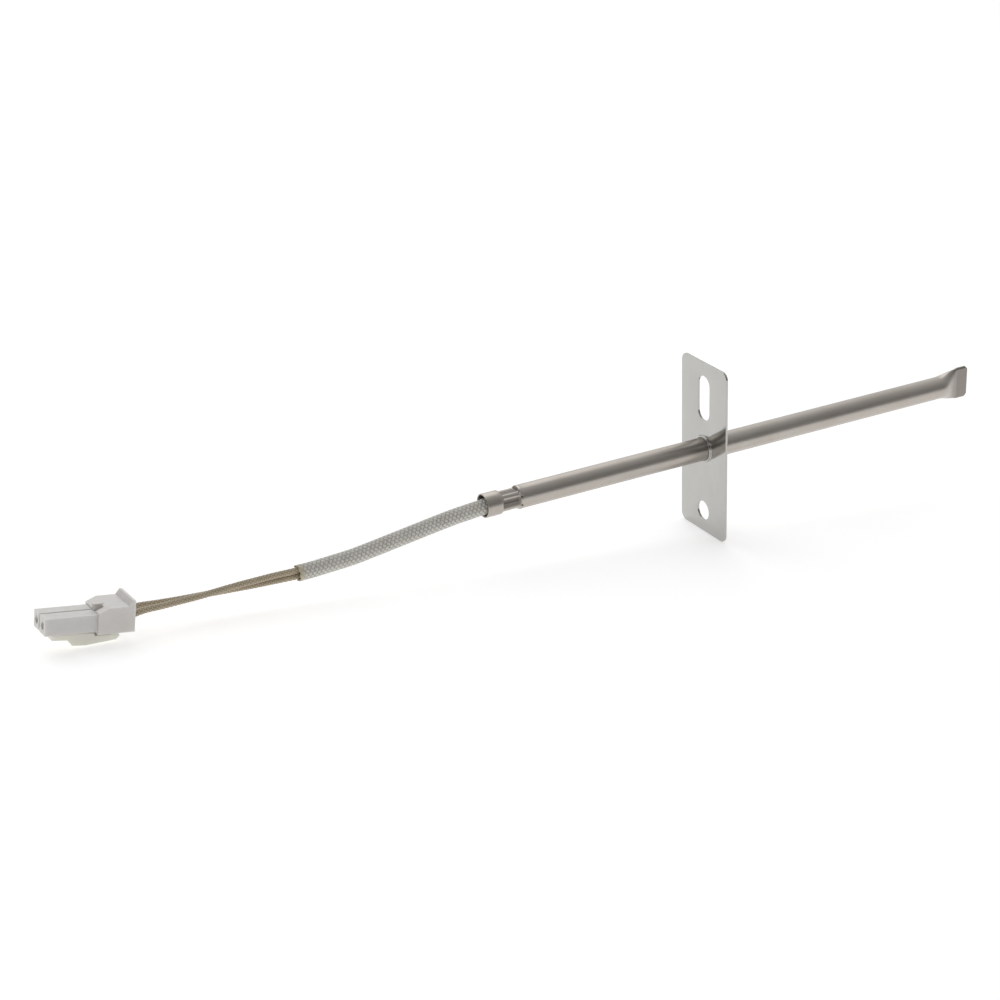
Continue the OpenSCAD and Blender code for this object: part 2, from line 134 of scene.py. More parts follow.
def cleaned(piece, merge=0.0, flat=0.0, outwards=True):
    """Merges points this close, dissolves edges this flat, and makes every face point outwards."""
    work = bmesh.new()
    work.from_mesh(piece.data)
    if merge:
        bmesh.ops.remove_doubles(work, verts=work.verts, dist=merge)
    if flat:
        bmesh.ops.dissolve_limit(work, angle_limit=flat, verts=work.verts, edges=work.edges)
    if outwards:
        bmesh.ops.recalc_face_normals(work, faces=work.faces)
    work.to_mesh(piece.data)
    work.free()
    return piece


def evaluated(piece, name):
    """The piece with its modifiers applied, as a plain mesh object in its place."""
    bpy.context.view_layer.update()
    graph = bpy.context.evaluated_depsgraph_get()
    mesh = bpy.data.meshes.new_from_object(piece.evaluated_get(graph), depsgraph=graph)
    bpy.data.objects.remove(piece)
    mesh.name = name
    return in_scene(name, mesh)


def join(name, pieces):
    """Several mesh objects as one, with their materials and attributes."""
    bpy.context.view_layer.update()
    with bpy.context.temp_override(
        active_object=pieces[0], selected_editable_objects=pieces, selected_objects=pieces
    ):
        bpy.ops.object.join()
    pieces[0].name = name
    pieces[0].data.name = name
    return pieces[0]


def put_number(piece, name, value):
    """Stores a number on a mesh: one for each point, or the same for all."""
    values = value if isinstance(value, list) else [value] * len(piece.data.vertices)
    layer = piece.data.attributes.new(name, "FLOAT", "POINT")
    layer.data.foreach_set("value", values)


MERGE = 0.002 * MM
print("points merge within mm:", MERGE / MM)

# %% [markdown]
# ## The cords' routes
# Three free cords leave the tube's mouth: the white sleeve and, inside it, the two leads, which run
# on to the plug. Their points are the CAD model's own. A Catmull-Rom curve through them gives a
# smooth line, and each cord's length is measured along it.

# %% Routes of the sleeve and the leads, in metres from the tube's mouth
MOUTH_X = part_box("probe_tube")[0].x
SLEEVE_ROUTE = [
    (0.013, 0, 0), (0.0115, 0, 0), (0.010, 0, 0), (0.0049, 0, 0), (0.0034, 0, -0.0001),
    (0, 0, -0.0003), (-0.004, 0, -0.0006), (-0.009, 0, -0.001), (-0.014, 0, -0.0016),
    (-0.020, 0, -0.0024), (-0.026, 0, -0.0032), (-0.032, 0, -0.004), (-0.038, 0, -0.0047),
    (-0.044, 0, -0.005), (-0.049, 0, -0.0052), (-0.053, 0, -0.0052),
]
LEAD_ROUTE_A = [
    (0.015, -0.00095, 0), (0.0128, -0.0009, 0.00025), (0.0105, -0.0006, 0.0006),
    (0.008, -0.0006, 0.0006), (0.0047, -0.0006, 0.0006), (0.002, -0.0005, 0.0005),
    (-0.002, -0.0004, 0.0003), (-0.007, -0.0003, 0), (-0.012, -0.0002, -0.00055),
    (-0.017, -0.0001, -0.00115), (-0.022, 0, -0.0018), (-0.027, 0, -0.0025),
    (-0.032, 0, -0.00315), (-0.037, 0, -0.00375), (-0.042, 0, -0.00405),
    (-0.047, 0, -0.00425), (-0.051, -0.00005, -0.00435), (-0.055, -0.00015, -0.00425),
    (-0.060, -0.0003, -0.0040), (-0.065, -0.0005, -0.00388), (-0.070, -0.0007, -0.00378),
    (-0.075, -0.0009, -0.00382), (-0.080, -0.0012, -0.0038), (-0.085, -0.00155, -0.00358),
    (-0.090, -0.00195, -0.00335), (-0.094, -0.0022, -0.0031), (-0.097, -0.00232, -0.0033),
    (-0.09883, -0.002375, -0.00372),
]
LEAD_ROUTE_B = [
    (0.015, 0.00095, 0), (0.0128, 0.0009, -0.00025), (0.0105, 0.0006, -0.0006),
    (0.008, 0.0006, -0.0006), (0.0047, 0.0006, -0.0006), (0.002, 0.0005, -0.00085),
    (-0.002, 0.0004, -0.0012), (-0.007, 0.0003, -0.0017), (-0.012, 0.0002, -0.00225),
    (-0.017, 0.0001, -0.00285), (-0.022, 0, -0.0035), (-0.027, 0, -0.0042),
    (-0.032, 0, -0.00485), (-0.037, 0, -0.00545), (-0.042, 0, -0.00575),
    (-0.047, 0, -0.00595), (-0.051, 0.00005, -0.00605), (-0.055, 0.00015, -0.00595),
    (-0.060, 0.0003, -0.00575), (-0.065, 0.0005, -0.00555), (-0.070, 0.0007, -0.00525),
    (-0.075, 0.0009, -0.00495), (-0.080, 0.0012, -0.00475), (-0.085, 0.0015, -0.0045),
    (-0.090, 0.00175, -0.0041), (-0.094, 0.0019, -0.0037), (-0.097, 0.00193, -0.00366),
    (-0.09892, 0.001917, -0.00398),
]
PATH_STEP = 0.5 * MM


def smooth_path(route):
    """Points about PATH_STEP apart on a Catmull-Rom curve through a route's points."""
    points = [Vector((MOUTH_X + x, y, z)) for x, y, z in route]
    ends = [2 * points[0] - points[1], *points, 2 * points[-1] - points[-2]]
    path = []
    for a, b, c, d in zip(ends, ends[1:], ends[2:], ends[3:]):
        steps = max(1, round((c - b).length / PATH_STEP))
        for i in range(steps):
            t = i / steps
            path.append(0.5 * (2 * b + (c - a) * t + (2 * a - 5 * b + 4 * c - d) * t**2
                               + (3 * b - a - 3 * c + d) * t**3))
    return [*path, points[-1]]


def path_length(path):
    """Length along a row of points."""
    return sum((b - a).length for a, b in zip(path, path[1:]))


sleeve_path = smooth_path(SLEEVE_ROUTE)
lead_paths = {"a": smooth_path(LEAD_ROUTE_A), "b": smooth_path(LEAD_ROUTE_B)}
print("sleeve mm:", round(path_length(sleeve_path) / MM, 2))
print("leads mm:", [round(path_length(p) / MM, 2) for p in lead_paths.values()])

# %% [markdown]
# ## A finish is a small node tree
# Every material below starts the same way: a Principled shader, and a few helpers that add a
# texture, a colour ramp or a bump with one call. Patterns read Object coordinates, so they stay
# on the piece, or an attribute that the piece's own maker stored.

# %% Material helpers


def feed(tree, made, values):
    """Feeds a node's inputs, by name or number: links an output, or sets a plain value."""
    for key, value in values.items():
        if isinstance(value, bpy.types.NodeSocket):
            tree.links.new(value, made.inputs[key])
        else:
            made.inputs[key].default_value = value


def node(tree, kind, values=None, **settings):
    """Adds a node, sets its properties and feeds its inputs."""
    made = tree.nodes.new(kind)
    for key, value in settings.items():
        setattr(made, key, value)
    feed(tree, made, values or {})
    return made


def calc(tree, operation, a, b=0.0):
    """A maths node on plain numbers or outputs. Gives its output."""
    return node(tree, "ShaderNodeMath", {0: a, 1: b}, operation=operation).outputs[0]


def times(tree, a, b):
    """Multiplies plain numbers or outputs."""
    return calc(tree, "MULTIPLY", a, b)


def material(name, color, metallic=0.0, roughness=0.5):
    """A new material. Gives the material, its tree and its Principled node."""
    made = bpy.data.materials.new(name)
    made.use_nodes = True
    made.diffuse_color = (*color, 1.0)
    tree = made.node_tree
    shader = tree.nodes["Principled BSDF"]
    feed(tree, shader, {"Base Color": (*color, 1.0), "Metallic": metallic, "Roughness": roughness})
    return made, tree, shader


PER_MM = (1000, 1000, 1000)


def place(tree, scale):
    """Object coordinates, scaled: PER_MM makes a pattern's unit a millimetre."""
    coords = node(tree, "ShaderNodeTexCoord").outputs["Object"]
    return node(tree, "ShaderNodeMapping", {"Vector": coords, "Scale": scale}).outputs["Vector"]


def noise(tree, where, scale, detail=4.0, roughness=0.55):
    """Smooth noise from 0 to 1."""
    values = {"Vector": where, "Scale": scale, "Detail": detail, "Roughness": roughness}
    return node(tree, "ShaderNodeTexNoise", values).outputs["Fac"]


def ramp(tree, value, *stops):
    """A colour ramp with (place, colour) stops."""
    made = node(tree, "ShaderNodeValToRGB", {"Fac": value})
    band = made.color_ramp
    while len(band.elements) < len(stops):
        band.elements.new(0.5)
    for element, (at, color) in zip(band.elements, stops):
        element.position = at
        element.color = (*color, 1.0)
    return made.outputs["Color"]


def span(tree, value, low, high, out_low, out_high):
    """Maps low..high to out_low..out_high, without going past them."""
    ends = {"From Min": low, "From Max": high, "To Min": out_low, "To Max": out_high}
    return node(tree, "ShaderNodeMapRange", {"Value": value, **ends}).outputs["Result"]


def blend_color(tree, factor, a, b, mode="MIX"):
    """Mixes two colours."""
    a, b = [c if isinstance(c, bpy.types.NodeSocket) else (*c, 1.0) for c in (a, b)]
    values = {"Factor": factor, 6: a, 7: b}
    return node(tree, "ShaderNodeMix", values, data_type="RGBA", blend_type=mode).outputs[2]


def bump(tree, shader, height, strength, depth):
    """Roughens the surface by a height from 0 to 1. depth is its real size in metres."""
    made = node(tree, "ShaderNodeBump", {"Strength": strength, "Distance": depth, "Height": height})
    tree.links.new(made.outputs["Normal"], shader.inputs["Normal"])


def stored(tree, name):
    """A number that the piece's maker stored on its mesh."""
    return node(tree, "ShaderNodeAttribute", attribute_name=name).outputs["Fac"]


print("material helpers ready")

# %% [markdown]
# ## Glass braid finishes
# A braid's tow is a flat bundle of glass filaments with a silky sheen. The maker of the braid
# stores where each point lies: across its tow, and how high it rides. The finish draws fine
# filaments from the first. From the second it paints shade into the hollows between tows and a
# highlight onto their crowns.

# %% Braid finishes
VARNISH = (0.60, 0.54, 0.40)


def braid_finish(name, hollow, body, crown_highlight, filaments, sheen):
    """Glass braid, with painted shade in its hollows and a painted highlight on its crowns."""
    made, tree, shader = material(name, body, roughness=0.5)
    # Painted shade in the hollows between tows and a painted highlight on the crowns, by how high
    # each point rides.
    color = ramp(tree, stored(tree, "ride"), (0.0, hollow), (0.5, body), (0.93, crown_highlight))
    blotch = noise(tree, place(tree, PER_MM), 0.35, 3.0)
    shade = ramp(tree, blotch, (0.3, (0.88, 0.87, 0.85)), (0.7, (1.0, 1.0, 1.0)))
    color = blend_color(tree, 1.0, color, shade, "MULTIPLY")
    sealed = span(tree, stored(tree, "sealed"), 0.0, 1.0, 0.0, 1.0)
    wave = calc(tree, "SINE", times(tree, stored(tree, "across"), math.pi * filaments))
    fuzz = noise(tree, place(tree, PER_MM), 7.0, 2.0)
    bump(tree, shader, calc(tree, "ADD", times(tree, wave, 0.35), fuzz), 0.55, 0.05 * MM)
    feed(tree, shader, {
        "Base Color": blend_color(tree, sealed, color, VARNISH),
        "Roughness": span(tree, fuzz, 0.3, 0.7, 0.36, 0.56),
        "Sheen Weight": sheen, "Sheen Roughness": 0.4, "Specular IOR Level": 0.6})
    return made


white_braid = braid_finish(
    "white_glass_braid", (0.12, 0.11, 0.09), (0.41, 0.395, 0.35), (0.82, 0.80, 0.745), 7, 0.4)
tan_braid = braid_finish(
    "tan_glass_braid", (0.055, 0.035, 0.013), (0.27, 0.205, 0.12), (0.60, 0.51, 0.37), 5, 0.15)
print("braid finishes:", white_braid.name, tan_braid.name)

# %% [markdown]
# ## The braid tree
# A braid is one rule repeated: so many tows run each way round a cord, and each rides over one
# tow and under the next. Geometry Nodes follow a path here. They resample it, copy it once for
# each tow, and move every point out to its own angle and height. A flat lens-shaped profile is
# swept along each result. Both the sleeve and the leads use this one tree with other sizes.

# %% Build the braid tree


def tree_input(tree, name, kind, value=None):
    """Adds a named input to a Geometry Nodes tree."""
    made = tree.interface.new_socket(name=name, in_out="INPUT", socket_type=kind)
    if value is not None:
        made.default_value = value


def vmath(tree, operation, values):
    """A vector maths node. Gives its vector."""
    return node(tree, "ShaderNodeVectorMath", values, operation=operation).outputs["Vector"]


def geometry(tree, kind, values, **settings):
    """A Geometry Nodes node. Gives its first output."""
    return node(tree, "GeometryNode" + kind, values, **settings).outputs[0]


def keep(tree, points, name, value):
    """Stores a named number on the points."""
    values = {"Geometry": points, "Name": name, "Value": value}
    return geometry(tree, "StoreNamedAttribute", values, data_type="FLOAT", domain="POINT")


def braid_tree():
    """A braid round a path: named sizes in, one plain mesh out."""
    tree = bpy.data.node_groups.new("braid over a path", "GeometryNodeTree")
    tree_input(tree, "Path", "NodeSocketGeometry")
    tree_input(tree, "Tows each way", "NodeSocketInt", 8)
    for name in ("Turn length", "Radius", "Tow width", "Tow thickness", "Step", "Start", "Flare"):
        tree_input(tree, name, "NodeSocketFloat", 0.001)
    tree_input(tree, "Finish", "NodeSocketMaterial")
    tree.interface.new_socket(name="Braid", in_out="OUTPUT", socket_type="NodeSocketGeometry")
    given = node(tree, "NodeGroupInput").outputs

    whole = geometry(tree, "CurveLength", {"Curve": given["Path"]})
    ends = {"Curve": given["Path"], 4: given["Start"], 5: whole}
    shown = geometry(tree, "TrimCurve", ends, mode="LENGTH")
    even = geometry(tree, "ResampleCurve", {"Curve": shown, "Length": given["Step"]}, mode="LENGTH")
    copies = {"Geometry": even, "Amount": times(tree, given["Tows each way"], 2)}
    tows = node(tree, "GeometryNodeDuplicateElements", copies, domain="SPLINE")

    # Which tow this is, and which way round it runs: 1 or -1
    number = tows.outputs["Duplicate Index"]
    tow = calc(tree, "FLOOR", calc(tree, "DIVIDE", number, 2))
    way = calc(tree, "SUBTRACT", times(tree, calc(tree, "MODULO", number, 2), 2), 1)
    parameter = node(tree, "GeometryNodeSplineParameter").outputs
    turns = calc(tree, "DIVIDE", parameter["Length"], given["Turn length"])
    share = calc(tree, "DIVIDE", tow, given["Tows each way"])
    angle = times(tree, calc(tree, "ADD", times(tree, turns, way), share), 2 * math.pi)
    crossings = times(tree, times(tree, turns, given["Tows each way"]), 2)
    over = times(tree, calc(tree, "COSINE", times(tree, crossings, math.pi)), way)

    # The direction straight out from the path, at the tow's angle
    across = node(tree, "GeometryNodeInputNormal").outputs["Normal"]
    ahead = node(tree, "GeometryNodeInputTangent").outputs["Tangent"]
    up = vmath(tree, "CROSS_PRODUCT", {0: ahead, 1: across})
    out = vmath(tree, "ADD", {
        0: vmath(tree, "SCALE", {0: across, "Scale": calc(tree, "COSINE", angle)}),
        1: vmath(tree, "SCALE", {0: up, "Scale": calc(tree, "SINE", angle)})})
    held = node(tree, "GeometryNodeCaptureAttribute", domain="POINT")
    held.capture_items.new("VECTOR", "out")
    held.capture_items.new("FLOAT", "over")
    feed(tree, held, {"Geometry": tows.outputs["Geometry"], "out": out, "over": over})

    # The last stretch opens a little, as a cut sleeve does
    to_end = calc(tree, "SUBTRACT", 1.0, parameter["Factor"])
    opening = calc(tree, "POWER", 2.718, times(tree, to_end, -60.0))
    reach = calc(tree, "ADD", given["Radius"], times(tree, opening, given["Flare"]))
    half = times(tree, given["Tow thickness"], 0.5)
    reach = calc(tree, "ADD", reach, times(tree, over, half))
    spot = node(tree, "GeometryNodeInputPosition").outputs["Position"]
    spot = vmath(tree, "ADD", {0: spot, 1: vmath(tree, "SCALE", {0: out, "Scale": reach})})
    moved = geometry(tree, "SetPosition", {"Geometry": held.outputs["Geometry"], "Position": spot})
    facing = {"Curve": moved, "Normal": held.outputs["out"]}
    facing = geometry(tree, "SetCurveNormal", facing, mode="FREE")

    # A lens-shaped profile, bent to lie on the cord
    circle = geometry(tree, "CurvePrimitiveCircle", {"Resolution": 10, "Radius": 1.0})
    spot = node(tree, "GeometryNodeInputPosition").outputs["Position"]
    split = node(tree, "ShaderNodeSeparateXYZ", {0: spot}).outputs
    wide = times(tree, split["Y"], times(tree, given["Tow width"], 0.5))
    sag = calc(tree, "DIVIDE", times(tree, wide, wide), given["Radius"])
    thick = calc(tree, "SUBTRACT", times(tree, split["X"], half), times(tree, sag, 0.3))
    shape = node(tree, "ShaderNodeCombineXYZ", {"X": thick, "Y": wide}).outputs["Vector"]
    profile = keep(tree, circle, "across", split["Y"])
    lens = geometry(tree, "SetPosition", {"Geometry": profile, "Position": shape})

    sweep = {"Curve": facing, "Profile Curve": lens, "Fill Caps": True}
    height = times(tree, calc(tree, "ADD", held.outputs["over"], 1.0), 0.5)
    mesh = keep(tree, geometry(tree, "CurveToMesh", sweep), "ride", height)
    mesh = geometry(tree, "SetShadeSmooth", {"Geometry": mesh})
    mesh = geometry(tree, "RealizeInstances", {"Geometry": mesh})
    mesh = geometry(tree, "SetMaterial", {"Geometry": mesh, "Material": given["Finish"]})
    node(tree, "NodeGroupOutput", {"Braid": mesh})
    return tree


BRAID = braid_tree()
print("braid tree:", len(BRAID.nodes), "nodes")

# %% Run the braid tree on a path


def poly_spline(data, points, closed=False):
    """Adds a spline of straight steps through points to a curve."""
    spline = data.splines.new("POLY")
    spline.points.add(len(points) - 1)
    spline.use_cyclic_u = closed
    for point, at in zip(spline.points, points):
        point.co = (*at, 1.0)


def braided(name, path, finish, **sizes):
    """The braid round a path, as a plain mesh object."""
    data = bpy.data.curves.new(name + "_path", "CURVE")
    data.dimensions = "3D"
    poly_spline(data, path)
    holder = in_scene(name + "_path", data)
    modifier = holder.modifiers.new("braid", "NODES")
    modifier.node_group = BRAID
    sockets = {s.name: s.identifier for s in BRAID.interface.items_tree if s.in_out == "INPUT"}
    modifier[sockets["Finish"]] = finish
    for key, value in sizes.items():
        modifier[sockets[key.replace("_", " ")]] = value
    return evaluated(holder, name)


print("braid inputs:", [s.name for s in BRAID.interface.items_tree if s.in_out == "INPUT"])

# %% [markdown]
# ## The outer sleeve
# The sleeve has sixteen wide tows, eight each way, over a closed inner wall. The wall is a loft
# along the same path, drawn in where the crimp squeezes it. Its free end is cut and sealed with
# cream varnish, which stands as a thin lip round the two leads.

# %% Make the sleeve
SLEEVE_TOWS = 8
SLEEVE_TURN = 9.6 * MM
SLEEVE_R = 1.94 * MM
SLEEVE_BORE = 1.80 * MM
TOW_THICK = 0.21 * MM
SQUEEZED = (MOUTH_X + 4.7 * MM, MOUTH_X + 10.4 * MM)
SQUEEZED_OUT = 1.85 * MM
SQUEEZED_BORE = 1.73 * MM
SEALED_R = 2.11 * MM
SEALED_L = 0.9 * MM
WALL_SIDES = 48


def ring_round(path, i, radius, sides):
    """A ring of points round point i of a path."""
    ahead = (path[min(i + 1, len(path) - 1)] - path[max(i - 1, 0)]).normalized()
    across = Vector((0, 0, 1)).cross(ahead).normalized()
    up = ahead.cross(across)
    ring = []
    for j in range(sides):
        turn = 2 * math.pi * j / sides
        ring.append(path[i] + radius * (math.cos(turn) * across + math.sin(turn) * up))
    return ring


def seal_end(piece, path, depth):
    """Marks the last stretch of a cord before its end as sealed, from 0 to 1."""
    ahead = (path[-1] - path[-4]).normalized()
    values = []
    for vertex in piece.data.vertices:
        before = (path[-1] - vertex.co).dot(ahead)
        values.append(min(1.0, max(0.0, 1.6 * (1.0 - before / depth))))
    put_number(piece, "sealed", values)


def squeezed(p):
    """Whether the crimp holds the sleeve at a point."""
    return SQUEEZED[0] < p.x < SQUEEZED[1]


def wall_radius(p):
    """The wall's outside: drawn in at the crimp, a lip at the sealed end, else under the tows."""
    if squeezed(p):
        return SQUEEZED_OUT
    return SEALED_R if (p - sleeve_path[-1]).length < SEALED_L else SLEEVE_R - 0.02 * MM


def sleeve_wall():
    """The sleeve's closed wall, under its tows."""
    out, back = [], []
    for i, p in enumerate(sleeve_path):
        bore = SQUEEZED_BORE if squeezed(p) else SLEEVE_BORE
        out.append(ring_round(sleeve_path, i, wall_radius(p), WALL_SIDES))
        back.append(ring_round(sleeve_path, i, bore, WALL_SIDES))
    wall = loft("sleeve_wall", [*out, *reversed(back)], closed=True, material=white_braid)
    # Painted shade: the wall shows between the tows in nearly the hollow colour.
    put_number(wall, "ride", 0.05)
    put_number(wall, "across", 0.0)
    return cleaned(wall)


sleeve_tows = braided(
    "outer_sleeve_tows", sleeve_path, white_braid, Tows_each_way=SLEEVE_TOWS, Turn_length=SLEEVE_TURN,
    Radius=SLEEVE_R, Tow_width=0.97 * MM, Tow_thickness=TOW_THICK, Step=0.125 * MM,
    Start=8.5 * MM, Flare=0.03 * MM)
sleeve = join("braided_sleeve", [sleeve_tows, sleeve_wall()])
seal_end(sleeve, sleeve_path, 1.5 * MM)
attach(sleeve, "probe")
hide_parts("outer_sleeve")
print("sleeve:", len(sleeve.data.polygons), "faces")

# %% [markdown]
# ## The two leads
# Each lead is a stranded wire in a varnished tan glass braid, six fine tows each way. The same tree
# makes it. The braid starts a little way inside the sleeve, where it can't be seen any more, and a
# plain closed core carries it on into the tube.

# %% Make the leads
LEAD_TOWS = 6
LEAD_TURN = 6.9 * MM
LEAD_R = 0.735 * MM
LEAD_TOW_THICK = 0.1 * MM
LEAD_HIDDEN = 58.0 * MM


def lead(side):
    """One glass-braided lead along its path."""
    path = lead_paths[side]
    core_rings = [ring_round(path, i, LEAD_R, 24) for i in range(len(path))]
    core = cleaned(loft("lead_core", core_rings, material=tan_braid))
    # Painted shade: the core under the tows takes the dark hollow colour.
    put_number(core, "ride", 0.0)
    put_number(core, "across", 0.0)
    tows = braided(
        "lead_tows", path, tan_braid, Tows_each_way=LEAD_TOWS, Turn_length=LEAD_TURN,
        Radius=LEAD_R, Tow_width=0.66 * MM, Tow_thickness=LEAD_TOW_THICK, Step=0.1 * MM,
        Start=LEAD_HIDDEN, Flare=0.0)
    made = join("glass_lead_" + side, [tows, core])
    put_number(made, "sealed", 0.0)
    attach(made, "probe")
    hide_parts("lead_wire_" + side)
    return made


leads = {side: lead(side) for side in ("a", "b")}
print("leads:", [len(piece.data.polygons) for piece in leads.values()], "faces")

# %% [markdown]
# ## Steel finishes
# The tube is drawn stainless: a satin skin with fine lines along it and a faint warm tint. Noise
# stretched along the tube gives the lines, and a slow noise tints them. The plate is rolled sheet,
# smoother and with hardly a line in it, so that it mirrors the tube.

# %% Steel finishes
# Dark colour for painted shade in the tube's pits, crimp flats, end seam and bore, and for its darker
# flattened tip.
SHADE_AND_DARKENING = (0.05, 0.043, 0.036)


def steel_finish(name, color, tint, roughness, lines, line_depth, low=0.86):
    """Satin metal: lines is the scale of its fine lines along X, Y and Z, low their darkest tone."""
    made, tree, shader = material(name, color, metallic=1.0, roughness=roughness)
    streak = noise(tree, place(tree, lines), 1.0, 6.0, 0.65)
    cloud = noise(tree, place(tree, (120, 120, 120)), 1.0, 3.0)
    spots = noise(tree, place(tree, (900, 900, 900)), 1.0, 2.0)
    tone = ramp(tree, cloud, (0.3, tint), (0.7, color))
    grain = ramp(tree, streak, (0.25, (low, low, low)), (0.75, (1.0, 1.0, 1.0)))
    color_out = blend_color(tree, 1.0, tone, grain, "MULTIPLY")
    mottle = calc(tree, "ADD", times(tree, streak, 0.6), times(tree, spots, 0.4))
    # The base colour goes towards that dark colour by the stored painted shade and darkening.
    feed(tree, shader, {
        "Base Color": blend_color(tree, stored(tree, "painted_shade_and_darkening"), color_out, SHADE_AND_DARKENING),
        "Roughness": span(tree, mottle, 0.3, 0.7, roughness - 0.05, roughness + 0.07)})
    bump(tree, shader, streak, 0.35, line_depth)
    return made


tube_steel = steel_finish(
    "drawn_tube_steel", (0.545, 0.51, 0.465), (0.505, 0.465, 0.42), 0.33, (25, 700, 700), 0.006 * MM)
plate_steel = steel_finish(
    "rolled_plate_steel", (0.49, 0.485, 0.465), (0.475, 0.47, 0.455), 0.11, (400, 400, 200),
    0.0004 * MM, low=0.96)
print("steel finishes:", tube_steel.name, plate_steel.name)

# %% [markdown]
# ## The probe tube
# The tube is one skin with four stretches: the open collar, the crimped neck, the plain tube and
# the flattened tip. Each stretch has a rule for its ring. In the neck four flats are pressed in and
# the metal between them stays as ridges. At the tip the metal flattens without stretching: the
# ring is an oval of nearly the same girth, which ends as a stadium, two flat sides joined by half
# circles. The inside follows the same rules, a wall's width in.

# %% Sizes of the tube
TUBE_R = 3.175 * MM
WALL = 0.4 * MM
COLLAR_R = 3.25 * MM
NECK_X = MOUTH_X + 4.3 * MM
BODY_X = NECK_X + 5.9 * MM
TIP_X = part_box("probe_tube")[1].x
FLAT_X = TIP_X - 3.7 * MM
FLARE_X = FLAT_X - 6.5 * MM
FLAT_HALF = 0.55 * MM
# How much darker the flattened tip is drawn, all round.
TIP_DARKENING = 0.45
NECK_FLAT_R = 2.284 * MM
DISH = 0.13 * MM
RIDGE_DROP = 0.4 * MM
TUBE_SIDES = 144
PIT_TURN = 24.0
PIT_DEPTH = 0.42 * MM
BEAD = 0.05 * MM
print("tube in mm from", round(MOUTH_X / MM, 1), "to", round(TIP_X / MM, 1))


def ease(a, b, x):
    """Goes from 0 at a to 1 at b, level at both ends."""
    t = min(max((x - a) / (b - a), 0.0), 1.0)
    return t * t * (3 - 2 * t)


def off_flat(turn):
    """Angle in degrees from the middle of the nearest crimp flat."""
    return (turn + 45) % 90 - 45


def pit(turn, u):
    """How deep a torn pit is at the tube's end of the two side flats' corners, from 0 to 1."""
    if 45 < turn % 180 < 135:
        return 0.0
    side = (abs(off_flat(turn)) - PIT_TURN) / 5.0
    ahead = (u - 1.0 - 0.012 * side) / 0.045
    return math.exp(-side**2 - ahead**2)


def pressed_in(u):
    """How far the crimp is pressed in, a share u of the way from collar to tube."""
    return ease(0.0, 0.13, u) * (1 - ease(0.87, 1.0, u))


def neck_radius(turn, u, inset):
    """Radius of the neck at an angle in degrees, a share u of the way from collar to tube."""
    plain = COLLAR_R + (TUBE_R - COLLAR_R) * min(u, 1.0)
    pressed = pressed_in(u)
    flat = plain - (plain - NECK_FLAT_R) * pressed
    ridge = plain - RIDGE_DROP * pressed
    straight = flat / math.cos(math.radians(off_flat(turn)))
    if inset == 0:
        straight -= DISH * pressed * math.sin(math.radians(90 * min(1.0, abs(off_flat(turn)) / 18.0)))
        straight += DISH * pressed * ease(22.0, 37.0, abs(off_flat(turn)))
    bead = BEAD * math.exp(-((u - 1.06) / 0.05) ** 2)
    return min(ridge, straight) - inset + bead


def neck_painted_shade(turn, u):
    """Painted shade on the crimp's flats, standing in for their dark reflections, and in the pits at
    their corners.
    """
    mark = 0.72 * pressed_in(u) * (1 - ease(22.0, 33.0, abs(off_flat(turn))))
    return max(mark, min(1.0, 1.3 * pit(turn, u)))


def stadium(r, thin, squeeze=0.0):
    """A ring of girth 2*pi*r with flat sides, thin from its middle to each side."""
    straight = math.pi / 2 * (r - thin)
    half = []
    for j in range(TUBE_SIDES // 2):
        way = 2 * math.pi * r * j / TUBE_SIDES
        turn = min(max((way - straight) / thin, 0.0), math.pi)
        z = min(way, straight, math.pi * r - way) + thin * math.sin(turn)
        half.append((thin * math.cos(turn), z * (1 - squeeze)))
    return half + [(-y, -z) for y, z in half]


def flaring(s):
    """A ring a share s of the way along the flare: an oval that ends as a stadium."""
    pressed = 0.5 * ease(-0.1, 1.0, s) + 0.5 * (1 - math.cos(math.pi / 2 * max(s, 0.0)))
    thin = TUBE_R + (FLAT_HALF - TUBE_R) * min(pressed, 1.0)
    wide = math.sqrt(2 * TUBE_R**2 - thin**2)
    flat = ease(0.8, 1.0, s)
    ring = []
    for j, (y, z) in enumerate(stadium(TUBE_R, thin)):
        turn = 2 * math.pi * j / TUBE_SIDES
        oval_y, oval_z = thin * math.cos(turn), wide * math.sin(turn)
        ring.append((oval_y + (y - oval_y) * flat, oval_z + (z - oval_z) * flat))
    return ring


def round_ring(radius):
    """A ring whose radius is a plain number, or a rule of the angle in degrees."""
    points = []
    for j in range(TUBE_SIDES):
        turn = 360 * j / TUBE_SIDES
        r = radius(turn) if callable(radius) else radius
        points.append((r * math.cos(math.radians(turn)), r * math.sin(math.radians(turn))))
    return points


# %% Lay out the tube's rings
MOUTH_LIP = 0.1 * MM
TIP_CORNER = 0.7 * MM
TIP_ROUND = 0.12 * MM


def even_steps(a, b, count):
    """count places from a up to, but not at, b."""
    return [a + (b - a) * i / count for i in range(count)]


